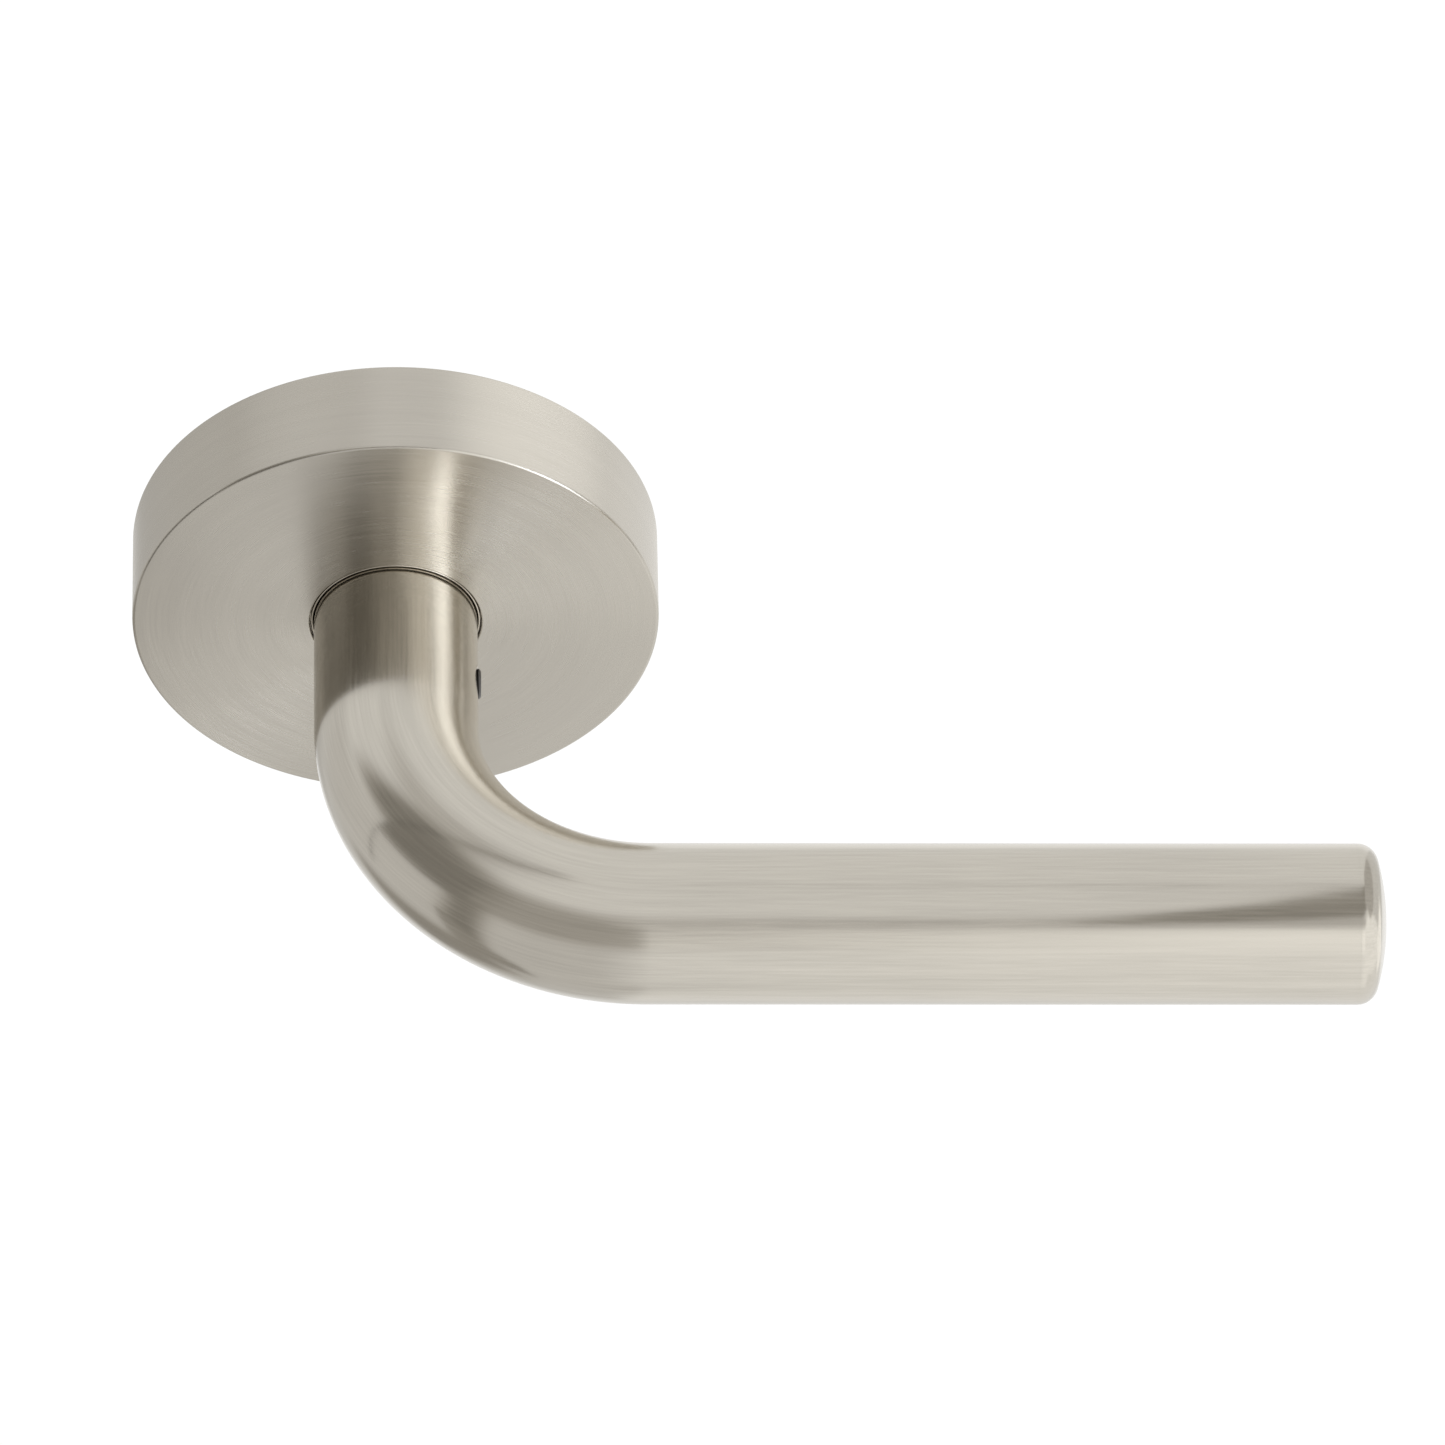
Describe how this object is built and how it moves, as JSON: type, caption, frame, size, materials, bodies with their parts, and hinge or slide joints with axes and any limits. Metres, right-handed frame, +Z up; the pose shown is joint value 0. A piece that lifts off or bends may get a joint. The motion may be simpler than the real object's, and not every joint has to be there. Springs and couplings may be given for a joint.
{
  "type": "door lever handle",
  "caption": "Door lever handle: a round tube lever bent at a right angle turns on a flat round rose, with a sprung cassette, a square spindle and bolt posts behind it.",
  "frame": {"origin": "centre of the rose's back face, on the spindle's axis at the door's surface", "axes": "+Y into the door along the spindle, +X along the lever to its tip, +Z up"},
  "size_m": [0.1525, 0.0963, 0.065],
  "materials": {
    "satin_nickel": "satin nickel plate, finely brushed along the grip and in circles on the rose",
    "zinc_plate": "bright zinc plated steel",
    "cast_zinc": "plain die-cast zinc",
    "spring_steel": "oiled spring wire",
    "bright_ring": "polished bush rim",
    "black_steel": "blackened steel",
    "nylon": "black moulded nylon"
  },
  "bodies": {
    "rose": {"rose_cover": "satin_nickel", "cover_snap_ring": "nylon", "mounting_plate": "zinc_plate", "rear_bush": "nylon", "cassette_housing": "cast_zinc", "cassette_lid": "zinc_plate", "neck_bush": "bright_ring", "return_spring": "spring_steel", "cassette_screw_1": "zinc_plate", "cassette_screw_2": "zinc_plate", "cassette_screw_3": "zinc_plate", "cassette_screw_4": "zinc_plate", "bolt_post_left": "zinc_plate", "bolt_post_right": "zinc_plate"},
    "lever": {"lever_tube": "satin_nickel", "tip_cap": "satin_nickel", "neck_core": "zinc_plate", "set_screw": "black_steel", "drive_hub": "cast_zinc", "spindle": "zinc_plate", "hub_circlip": "spring_steel", "back_washer": "zinc_plate", "thrust_washer": "nylon"}
  },
  "joints": [
    {"name": "lever_turn", "type": "hinge", "parent": "rose", "child": "lever", "pos_m": [0, 0, 0], "axis": [0, 1, 0], "range_deg": [-45, 45], "stiffness_Nm_per_rad": 0.58, "springref_deg": -6.3, "deforming": ["return_spring"]}
  ]
}
